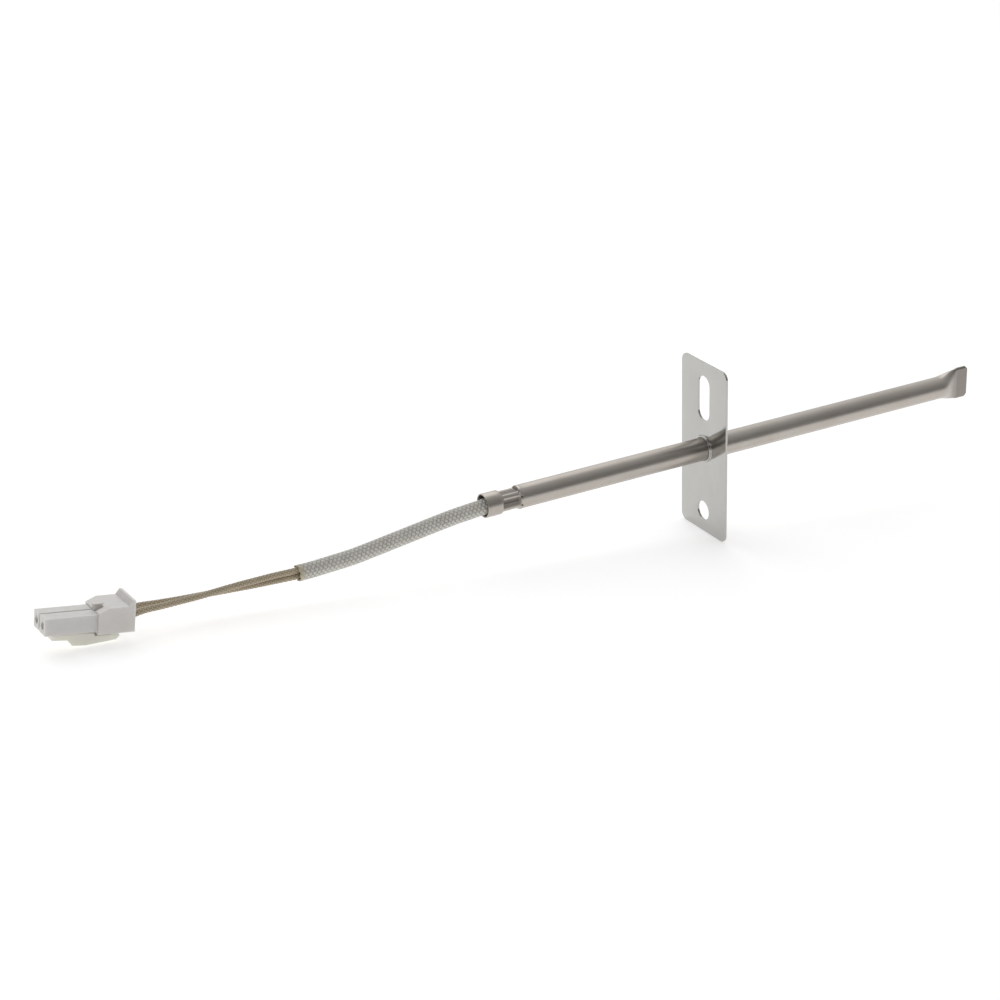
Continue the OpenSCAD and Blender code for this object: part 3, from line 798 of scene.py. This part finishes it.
def outer_rings():
    """(x, ring, dark) from mouth to tip, outside. dark: painted shade in the neck, a darker flattened
    tip.
    """
    clean = [0.0] * TUBE_SIDES
    rings = []
    for step in range(5):
        turn = math.pi / 2 * step / 4
        r = COLLAR_R - MOUTH_LIP * (1 - math.sin(turn))
        x = MOUTH_X + MOUTH_LIP * (1 - math.cos(turn))
        rings.append((x, round_ring(r), clean))
    for x in even_steps(MOUTH_X + 0.5 * MM, NECK_X - 0.1 * MM, 6):
        rings.append((x, round_ring(COLLAR_R), clean))
    for u in [*even_steps(0.0, 0.9, 36), *even_steps(0.9, 1.14, 24)]:
        # Painted shade: the crimp's flats and the pits at their corners are darkened.
        darkened = [neck_painted_shade(360 * j / TUBE_SIDES, u) for j in range(TUBE_SIDES)]
        base = round_ring(lambda a, u=u: neck_radius(a, u, 0.0) - PIT_DEPTH * pit(a, u))
        rings.append((NECK_X + u * (BODY_X - NECK_X), base, darkened))
    for x in even_steps(BODY_X + 0.9 * MM, FLARE_X - 1.0 * MM, 60):
        rings.append((x, round_ring(TUBE_R), clean))
    for s in [i / 28 for i in range(-2, 28)]:
        ring = flaring(s) if s > 0 else round_ring(TUBE_R)
        # The flare and the flattened tip are drawn darker.
        darkened = [0.75 * TIP_DARKENING * ease(0.3, 1.0, s)] * TUBE_SIDES
        rings.append((FLARE_X + s * (FLAT_X - FLARE_X), ring, darkened))
    for s in [i / 16 for i in range(17)]:
        x = FLAT_X + s * (TIP_X - FLAT_X)
        cut = max(0.0, x - (TIP_X - TIP_CORNER)) / (4.4 * MM)
        thin = FLAT_HALF - TIP_ROUND * ease(0.93, 1.0, s)
        rings.append((x, stadium(TUBE_R, thin, cut), [TIP_DARKENING] * TUBE_SIDES))
    return rings


def standing(x, ring):
    """A ring's points, stood across the tube at x."""
    return [Vector((x, y, z)) for y, z in ring]


def inner_rings():
    """(x, ring) from the mouth to the end of the hollow, on the inside."""
    rings = [(MOUTH_X, round_ring(COLLAR_R - WALL + 0.08 * MM)),
             (MOUTH_X + 0.1 * MM, round_ring(COLLAR_R - WALL))]
    for u in even_steps(0.0, 1.05, 20):
        bore = round_ring(lambda a, u=u: neck_radius(a, u, WALL))
        rings.append((NECK_X + u * (BODY_X - NECK_X), bore))
    for x in even_steps(BODY_X + 0.6 * MM, FLARE_X, 12):
        rings.append((x, round_ring(TUBE_R - WALL)))
    for s in [i / 10 for i in range(11)]:
        bore = TUBE_R - WALL
        thin = bore + (0.06 * MM - bore) * ease(-0.1, 1.0, s)
        rings.append((FLARE_X + s * (FLAT_X - WALL - FLARE_X), stadium(bore, thin)))
    return rings


print("rings outside and inside:", len(outer_rings()), len(inner_rings()))

# %% Build the tube
END_SEAM = 0.12 * MM


def probe_tube():
    """The whole tube as one closed wall."""
    outside = outer_rings()
    inside = inner_rings()
    rings = [standing(x, ring) for x, ring, dark in outside]
    darks = [d for x, ring, dark in outside for d in dark]
    rings.append(standing(TIP_X, stadium(TUBE_R - 0.1 * MM, 0.07 * MM, 0.16)))
    rings.append(standing(TIP_X - END_SEAM, stadium(TUBE_R - 0.12 * MM, 0.02 * MM, 0.17)))
    # Painted shade in the seam at the very end of the tip.
    darks += [0.25] * TUBE_SIDES + [1.0] * TUBE_SIDES
    hollow = [standing(x, ring) for x, ring in inside]
    # Painted shade on the inside of the tube's bore.
    darks += [0.55] * (TUBE_SIDES * len(hollow))
    count = len(rings)
    verts = [p for ring in [*rings, *hollow] for p in ring]
    faces = loft_faces(count, TUBE_SIDES, False)
    inner_start = count * TUBE_SIDES
    for a, b, c, d in loft_faces(len(hollow), TUBE_SIDES, False, inner_start):
        faces.append((d, c, b, a))
    for j in range(TUBE_SIDES):
        k = (j + 1) % TUBE_SIDES
        faces.append((inner_start + j, inner_start + k, k, j))
    half = TUBE_SIDES // 2
    for base in ((count - 1) * TUBE_SIDES, inner_start + (len(hollow) - 1) * TUBE_SIDES):
        for j in range(half):
            a, b = base + j, base + (j + 1) % TUBE_SIDES
            c, d = base + (TUBE_SIDES - j - 1) % TUBE_SIDES, base + (TUBE_SIDES - j) % TUBE_SIDES
            corners = list(dict.fromkeys((a, b, c, d)))
            if len(corners) > 2:
                faces.append(tuple(corners))
    made = mesh_object("steel_probe_tube", verts, faces, tube_steel)
    put_number(made, "painted_shade_and_darkening", darks)
    cleaned(made)
    made.data.set_sharp_from_angle(angle=math.radians(50))
    return made


tube = probe_tube()
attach(tube, "probe")
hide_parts("probe_tube")
print("tube:", len(tube.data.polygons), "faces")

# %% [markdown]
# ## The mounting plate
# A flat blanked plate is a flat curve: its outline, slot and holes are closed splines, and Blender
# fills between them, gives the sheet its thickness and rounds its blanked edges. The drawn ring that
# grips the tube is a small revolved wall on the mounting face.

# %% Outline helpers
PLATE_T = 0.6 * MM
PLATE_W = 21.3 * MM
plate_low, plate_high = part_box("mounting_plate")
SLOT_W = 5.4 * MM
SLOT_TOP = plate_high.z - 3.9 * MM
SLOT_END = SLOT_TOP - 12.8 * MM
HOLE_Z = plate_low.z + 6.1 * MM
CORNER_R = 2.2 * MM
EDGE_ROUND = 0.09 * MM
RING_RISE = 0.5 * MM
RING_BORE = TUBE_R + 0.02 * MM
RING_OUT = TUBE_R + 0.6 * MM
RING_LIP = 0.2 * MM
print("slot in mm from", round(SLOT_END / MM, 1), "to", round(SLOT_TOP / MM, 1))


def arc(cy, cz, r, start, stop, count):
    """Points on an arc, angles in degrees."""
    points = []
    for i in range(count + 1):
        turn = math.radians(start + (stop - start) * i / count)
        points.append((cy + r * math.cos(turn), cz + r * math.sin(turn)))
    return points


def rounded_box(y0, z0, y1, z1, r, count=10):
    """A rectangle with round corners."""
    return [*arc(y1 - r, z1 - r, r, 0, 90, count), *arc(y0 + r, z1 - r, r, 90, 180, count),
            *arc(y0 + r, z0 + r, r, 180, 270, count), *arc(y1 - r, z0 + r, r, 270, 360, count)]


def ring_section():
    """(x, radius) of the drawn ring's section, from the plate out and back along the tube."""
    crest = [*arc(-RING_RISE + RING_LIP, RING_BORE + RING_LIP, RING_LIP, 270, 180, 6),
             *arc(-RING_RISE + RING_LIP, RING_OUT - RING_LIP, RING_LIP, 180, 90, 6)]
    foot = arc(-RING_LIP, RING_OUT + RING_LIP, RING_LIP, 270, 360, 6)
    return [(PLATE_T / 2, RING_BORE), *crest, *foot, (PLATE_T / 2, RING_OUT + RING_LIP)]


# %% Build the plate
RING_SIDES = 128


def plate_sheet():
    """The flat sheet, with its slot and holes."""
    data = bpy.data.curves.new("plate_outline", "CURVE")
    data.dimensions = "2D"
    data.fill_mode = "BOTH"
    half = PLATE_W / 2
    outlines = [
        rounded_box(-half, plate_low.z, half, plate_high.z, CORNER_R, 16),
        rounded_box(-SLOT_W / 2, SLOT_END, SLOT_W / 2, SLOT_TOP, SLOT_W / 2 - 1e-6, 18),
        arc(0, HOLE_Z, SLOT_W / 2, 0, 355, 71),
        arc(0, 0, RING_BORE, 0, 357.5, 143),
    ]
    for outline in outlines:
        poly_spline(data, [(y, z, 0) for y, z in outline], closed=True)
    data.extrude = PLATE_T / 2 - EDGE_ROUND
    data.bevel_depth = EDGE_ROUND
    data.bevel_resolution = 3
    data.offset = -EDGE_ROUND
    sheet = evaluated(in_scene("plate_outline", data), "plate_sheet")
    stand_up = Matrix(((0, 0, 1, PLATE_T / 2), (1, 0, 0, 0), (0, 1, 0, 0), (0, 0, 0, 1)))
    sheet.data.transform(stand_up)
    return sheet


def plate_ring():
    """The drawn ring that grips the tube."""
    section = ring_section()
    rings = []
    for i in range(RING_SIDES):
        turn = 2 * math.pi * i / RING_SIDES
        rings.append([Vector((x, r * math.cos(turn), r * math.sin(turn))) for x, r in section])
    return loft("plate_ring", rings, closed=True)


sheet = cleaned(plate_sheet(), merge=MERGE)
plate = join("drawn_mounting_plate", [sheet, cleaned(plate_ring())])
plate.data.materials.clear()
plate.data.materials.append(plate_steel)
for face in plate.data.polygons:
    face.use_smooth = abs(face.normal.x) < 0.9999
plate.data.set_sharp_from_angle(angle=math.radians(32))
put_number(plate, "painted_shade_and_darkening", 0.0)
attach(plate, "probe")
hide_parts("mounting_plate")
print("plate:", len(plate.data.polygons), "faces")

# %% [markdown]
# ## Plastic finishes
# The plug is natural nylon: milky, a little light goes into it, and its faces are slightly dull
# from the mould. The latch is faintly yellow-green all over, so it has a tint of its own.

# %% Plastic finishes


def plastic_finish(name, color, deep):
    """Natural moulded plastic, with a mould's fine texture."""
    made, tree, shader = material(name, color, roughness=0.42)
    cloud = noise(tree, place(tree, PER_MM), 0.45, 3.0)
    texture = noise(tree, place(tree, PER_MM), 9.0, 3.0)
    bump(tree, shader, texture, 0.25, 0.02 * MM)
    feed(tree, shader, {
        "Base Color": ramp(tree, cloud, (0.3, deep), (0.7, color)),
        "Roughness": span(tree, texture, 0.3, 0.7, 0.36, 0.48),
        "Subsurface Weight": 0.55, "Subsurface Radius": (1.0, 0.95, 0.85),
        "Subsurface Scale": 1.2 * MM})
    return made


nylon = plastic_finish("natural_nylon", (0.77, 0.75, 0.73), (0.73, 0.71, 0.685))
print("plastic finish:", nylon.name)

# %% [markdown]
# ## The plug
# The plug stands in a frame of its own: x towards its mating end, z up, with its origin at the rear
# of the body's top. It rests nose up on its latch, rolled a little. Each part of it is a small
# block or an extruded outline; Boolean modifiers join and cut them, and a Bevel rounds every
# moulded edge.

# %% The plug's own frame and its building blocks
PLUG_AT = Vector((MOUTH_X - 97.3 * MM, 0, -0.4 * MM))
PLUG_LEAN = math.radians(10)
PLUG_ROLL = math.radians(-3.5)
PLUG_FRAME = (Matrix.Translation(PLUG_AT) @ Matrix.Rotation(PLUG_LEAN, 4, "Y")
              @ Matrix.Rotation(PLUG_ROLL, 4, "X") @ Matrix.Rotation(math.pi, 4, "Z"))
BODY_L, BODY_W, BODY_H = 9.2 * MM, 9.6 * MM, 6.5 * MM
PLUG_L = 22.2 * MM
PITCH = 4.3 * MM
TOWER_TOP, TOWER_H = -1.6 * MM, 4.3 * MM
TOWER_W = {"a": 3.9 * MM, "b": 3.5 * MM}
SIDE_Y = {"a": PITCH / 2, "b": -PITCH / 2}
CONTACT_Z = TOWER_TOP - TOWER_H / 2


def block(low, size):
    """A block from its lowest corner, in the plug's frame."""
    x, y, z = low
    l, w, h = size
    corners = [(x + a * l, y + b * w, z + c * h) for a in (0, 1) for b in (0, 1) for c in (0, 1)]
    faces = [(0, 1, 3, 2), (4, 6, 7, 5), (0, 4, 5, 1), (2, 3, 7, 6), (0, 2, 6, 4), (1, 5, 7, 3)]
    return mesh_object("block", corners, faces)


def slab(outline, width, y=0.0):
    """An outline in [x, z] extruded across the plug's width."""
    near = [(x, y - width / 2, z) for x, z in outline]
    far = [(x, y + width / 2, z) for x, z in outline]
    n = len(outline)
    faces = [tuple(range(n)), tuple(range(2 * n - 1, n - 1, -1))]
    faces += [(i, n + i, n + (i + 1) % n, (i + 1) % n) for i in range(n)]
    return cleaned(mesh_object("slab", near + far, faces))


def peg(x, length, r, y, z, sides=32):
    """A cylinder along x."""
    rings = []
    for at in (x, x + length):
        rings.append([Vector((at, y + r * math.cos(2 * math.pi * j / sides),
                              z + r * math.sin(2 * math.pi * j / sides))) for j in range(sides)])
    return cleaned(loft("peg", rings))


def moulded(name, solids, cuts, fillet, finish):
    """Solids joined, cuts taken away, edges rounded, and the result put in the plug's place."""
    body = solids[0]
    for other, how in [(s, "UNION") for s in solids[1:]] + [(c, "DIFFERENCE") for c in cuts]:
        modifier = body.modifiers.new(how, "BOOLEAN")
        modifier.operation = how
        modifier.solver = "EXACT"
        modifier.object = other
        other.hide_render = True
    made = evaluated(body, name)
    for used in [*solids[1:], *cuts]:
        bpy.data.objects.remove(used)
    cleaned(made, merge=MERGE, flat=math.radians(1), outwards=False)
    rounding = made.modifiers.new("rounding", "BEVEL")
    rounding.width = fillet
    rounding.segments = 3
    rounding.limit_method = "ANGLE"
    rounding.angle_limit = math.radians(28)
    rounding.use_clamp_overlap = True
    rounding.harden_normals = True
    made = evaluated(made, name)
    made.data.materials.clear()
    made.data.materials.append(finish)
    made.data.transform(PLUG_FRAME)
    return made


print("plug's rear in mm:", [round(v / MM, 1) for v in PLUG_AT])

# %% The plug's housing
CAVITY_W, CAVITY_H = 2.7 * MM, 3.1 * MM
FLANGE_RISE, FLANGE_TOP, FLANGE_FOOT = 1.4 * MM, 0.7 * MM, 1.7 * MM
CHAMFER_L, CHAMFER_DROP = 2.6 * MM, 1.2 * MM
KEY_Y, KEY_L, KEY_W = 0.9 * MM, 2.0 * MM, 1.6 * MM
RIB_L, RIB_W, RIB_H = 3.1 * MM, 1.15 * MM, 1.4 * MM
WEB_BORE_R = 0.69 * MM
WINDOW_L, WINDOW_W, WINDOW_H = 2.5 * MM, 3.2 * MM, 3.9 * MM
PAST = 1 * MM  # how far a block or a cut reaches into what it meets
END_WALL, ENTRY_R = 0.8 * MM, 0.95 * MM
WIRE_R = 1.65 * MM
WEB_X, WEB_T = 6.7 * MM, 0.6 * MM


def housing_solids():
    """Everything that the housing's mould fills."""
    body = slab([(0, -BODY_H), (0, FLANGE_RISE), (FLANGE_TOP, FLANGE_RISE), (FLANGE_FOOT, 0),
                 (BODY_L - CHAMFER_L, 0), (BODY_L, -CHAMFER_DROP), (BODY_L, -BODY_H)], BODY_W)
    towers = []
    for side in ("a", "b"):
        w = TOWER_W[side]
        towers.append(block((BODY_L - PAST, SIDE_Y[side] - w / 2, TOWER_TOP - TOWER_H),
                            (PLUG_L - BODY_L + PAST, w, TOWER_H)))
    rib = block((BODY_L - RIB_L, KEY_Y - RIB_W, -RIB_H), (RIB_L, RIB_W, RIB_H))
    return [body, rib, *towers]


def housing_cuts():
    """Everything that the housing's cores keep open."""
    cuts = [block((BODY_L - KEY_L, KEY_Y, -1.75 * MM), (KEY_L, KEY_W, 3.0 * MM))]
    cavity_x = WEB_X + WEB_T
    for y in SIDE_Y.values():
        cuts.append(block((cavity_x, y - CAVITY_W / 2, CONTACT_Z - CAVITY_H / 2),
                          (PLUG_L - END_WALL - cavity_x, CAVITY_W, CAVITY_H)))
        cuts.append(peg(PLUG_L - 2 * END_WALL, 3 * END_WALL, ENTRY_R, y, CONTACT_Z))
        cuts.append(peg(PAST, WEB_X - PAST, WIRE_R, y, CONTACT_Z))
        cuts.append(peg(WEB_X - PAST, WEB_T + 2 * PAST, WEB_BORE_R, y, CONTACT_Z))
        cuts.append(block((-PAST, y - WINDOW_W / 2, CONTACT_Z - WIRE_R),
                          (PAST + WINDOW_L, WINDOW_W, WINDOW_H)))
    return cuts


housing = moulded("moulded_plug_housing", housing_solids(), housing_cuts(), 0.14 * MM, nylon)
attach(housing, "probe")
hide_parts("plug_housing")
print("housing:", len(housing.data.polygons), "faces")

# %% [markdown]
# ## The latch lever
# The lever hangs under the towers on a thin root and rocks about it when its pad is pressed. It is
# one outline with a small root block, rounded like the housing, and it rides on its own body.

# %% The latch lever
LATCH_W = 6.0 * MM
LATCH_TOP = TOWER_TOP - TOWER_H - 0.5 * MM
BAR_T = 1.25 * MM
PAD_X = 16.1 * MM
LATCH_END_X = PLUG_L - 2.1 * MM


def latch_outline():
    """(x, z) points round the lever, seen from its side."""
    low = LATCH_TOP - BAR_T
    rear = LATCH_TOP - 0.95 * MM
    return [(LATCH_END_X, LATCH_TOP), (LATCH_END_X, low), (PAD_X, low - 0.2 * MM),
            (PAD_X - 1.2 * MM, low - 1.7 * MM), (PAD_X - 4.5 * MM, low - 1.9 * MM),
            (4.0 * MM, low - 1.1 * MM), (3.0 * MM, rear - 0.4 * MM), (3.3 * MM, rear),
            (BODY_L + 0.15 * MM, rear), (BODY_L + 0.3 * MM, LATCH_TOP - 0.2 * MM),
            (BODY_L + 3 * MM, LATCH_TOP)]


latch_nylon = plastic_finish("latch_nylon", (0.88, 0.87, 0.80), (0.85, 0.845, 0.75))
ROOT_SIZE = (1.6 * MM, LATCH_W / 2, 0.6 * MM)
root = block((PLUG_L - 4.5 * MM, -LATCH_W / 4, LATCH_TOP - 0.2 * MM), ROOT_SIZE)
lever = [slab(latch_outline(), LATCH_W), root]
latch = moulded("moulded_latch_lever", lever, [], 0.15 * MM, latch_nylon)
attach(latch, "latch")
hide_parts("latch_lever")
print("latch:", len(latch.data.polygons), "faces")

# %% [markdown]
# The sleeve ends cut, and the two leads end in the plug.

print("sleeve and leads made")

# %% [markdown]
# ## Finishes of the pieces inside
# The CAD nodes that stay need a finish too. Ceramics are matt with pressing grain, the glaze is
# glass, the nickel wires are drawn, and the bare strands are a twist of fine copper wires.

# %% Inner finishes


def grained(name, color, speck, roughness, scale, depth, metallic=0.0):
    """A plain solid with grain."""
    made, tree, shader = material(name, color, metallic, roughness)
    grain = noise(tree, place(tree, scale), 1.0, 5.0, 0.6)
    feed(tree, shader, {
        "Base Color": ramp(tree, grain, (0.3, speck), (0.65, color)),
        "Roughness": span(tree, grain, 0.3, 0.7, roughness - 0.08, roughness + 0.08)})
    bump(tree, shader, grain, 0.4, depth)
    return made


EVEN = (2500, 2500, 2500)
INNER = {
    "alumina": (grained("alumina", (0.88, 0.86, 0.80), (0.76, 0.73, 0.66), 0.62, EVEN, 0.02 * MM),
                ("sensing_chip", "front_insulator", "rear_insulator")),
    "glaze": (grained("blue_glaze", (0.20, 0.30, 0.36), (0.14, 0.22, 0.28), 0.14, EVEN, 0.004 * MM),
              ("chip_glaze",)),
    "nickel": (grained("drawn_nickel", (0.62, 0.60, 0.55), (0.50, 0.48, 0.44), 0.3,
                       (60, 6000, 6000), 0.004 * MM, 1.0),
               ("element_lead_a", "element_lead_b", "core_wire_a", "core_wire_b",
                "splice_a", "splice_b")),
    "magnesia": (grained("packed_magnesia", (0.80, 0.77, 0.70), (0.62, 0.59, 0.52), 0.85,
                         EVEN, 0.05 * MM),
                 ("tip_packing",)),
    "white_braid": (grained("cover_weave", (0.78, 0.77, 0.73), (0.55, 0.53, 0.48), 0.6,
                            (1500, 4000, 4000), 0.04 * MM),
                    ("splice_cover_a", "splice_cover_b")),
    "strand": (grained("bare_strands", (0.72, 0.52, 0.36), (0.46, 0.30, 0.18), 0.35,
                       (900, 5000, 5000), 0.03 * MM, 1.0),
               ("strand_tail_a", "strand_tail_b", "strand_end_a", "strand_end_b")),
    "contact_metal": (grained("tinned_contact", (0.72, 0.73, 0.74), (0.58, 0.59, 0.60), 0.22,
                              EVEN, 0.006 * MM, 1.0),
                      ("contact_a", "contact_b")),
}
for slot_name, (finish, names) in INNER.items():
    for name in names:
        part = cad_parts[name]
        part.data.materials.clear()
        part.data.materials.append(finish)
print("inner finishes:", len(INNER))

# %% [markdown]
# ## Floor and light
# The probe lies on a pale floor: the plate's lower edge and the latch's pad touch it, and the tip
# is in the air. The floor is found from those two. The room is dim in front and on the plug's side
# and bright behind, which gives the tube its dark middle band, and the floor lights it from below.

# %% Find the floor


def floor_slope():
    """The floor's rise per metre towards -X: from the plate's lower edge up to the latch."""
    foot_z = plate_low.z
    steepest = 1e9
    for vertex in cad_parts["latch_lever"].data.vertices:
        steepest = min(steepest, (vertex.co.z - foot_z) / -vertex.co.x)
    return steepest


SLOPE = floor_slope()
FLOOR_HALF = 6.0
FLOOR_GLOW = 0.46
floor_mat, floor_tree, floor_shader = material("pale_floor", (0.9, 0.9, 0.9), roughness=0.8)
grain = noise(floor_tree, place(floor_tree, (1, 1, 1)), 40.0, 3.0)
feed(floor_tree, floor_shader, {
    "Base Color": ramp(floor_tree, grain, (0.3, (0.855, 0.855, 0.853)), (0.7, (0.87, 0.87, 0.87))),
    "Emission Color": (1.0, 1.0, 1.0, 1.0), "Emission Strength": FLOOR_GLOW})
corners = []
for x in (-FLOOR_HALF, FLOOR_HALF):
    for y in (-FLOOR_HALF, FLOOR_HALF):
        corners.append((x, y, plate_low.z - SLOPE * x - 0.02 * MM))
floor = mesh_object("floor", corners, [(0, 2, 3, 1)], floor_mat)
print("floor slope in degrees:", round(math.degrees(math.atan(SLOPE)), 2))

# %% Light the room
ROOM_FRONT = 0.20
ROOM_BACK = 0.85
MIDDLE = Vector((-0.05, 0.0, 0.0))


def room_light():
    """A world that is dim towards the camera's side and bright behind and above."""
    world = bpy.data.worlds.new("studio")
    bpy.context.scene.world = world
    world.use_nodes = True
    tree = world.node_tree
    where = node(tree, "ShaderNodeTexCoord").outputs["Generated"]
    split = node(tree, "ShaderNodeSeparateXYZ", {0: where}).outputs
    back = span(tree, split["Y"], -0.9, 0.7, ROOM_FRONT, ROOM_BACK)
    side = span(tree, split["X"], -0.55, 0.0, 0.3, 1.0)
    level = times(tree, back, side)
    color = ramp(tree, level, (0.0, (0.0, 0.0, 0.0)), (1.0, (1.0, 1.0, 1.0)))
    feed(tree, tree.nodes["Background"], {"Color": color, "Strength": 1.0})


def soft_light(name, at, size, watts):
    """A square area light that looks at the middle of the object."""
    data = bpy.data.lights.new(name, "AREA")
    data.shape = "SQUARE"
    data.size = size
    data.energy = watts
    look = (MIDDLE - Vector(at)).normalized()
    in_scene(name, data).matrix_world = Matrix.Translation(at) @ aim(look, 0).to_4x4()


room_light()
soft_light("top_softbox", (-0.1, 0.75, 0.95), 1.4, 5.5)
soft_light("left_softbox", (-0.9, -0.5, 0.7), 0.5, 0.8)
bpy.context.scene.view_settings.view_transform = "Standard"
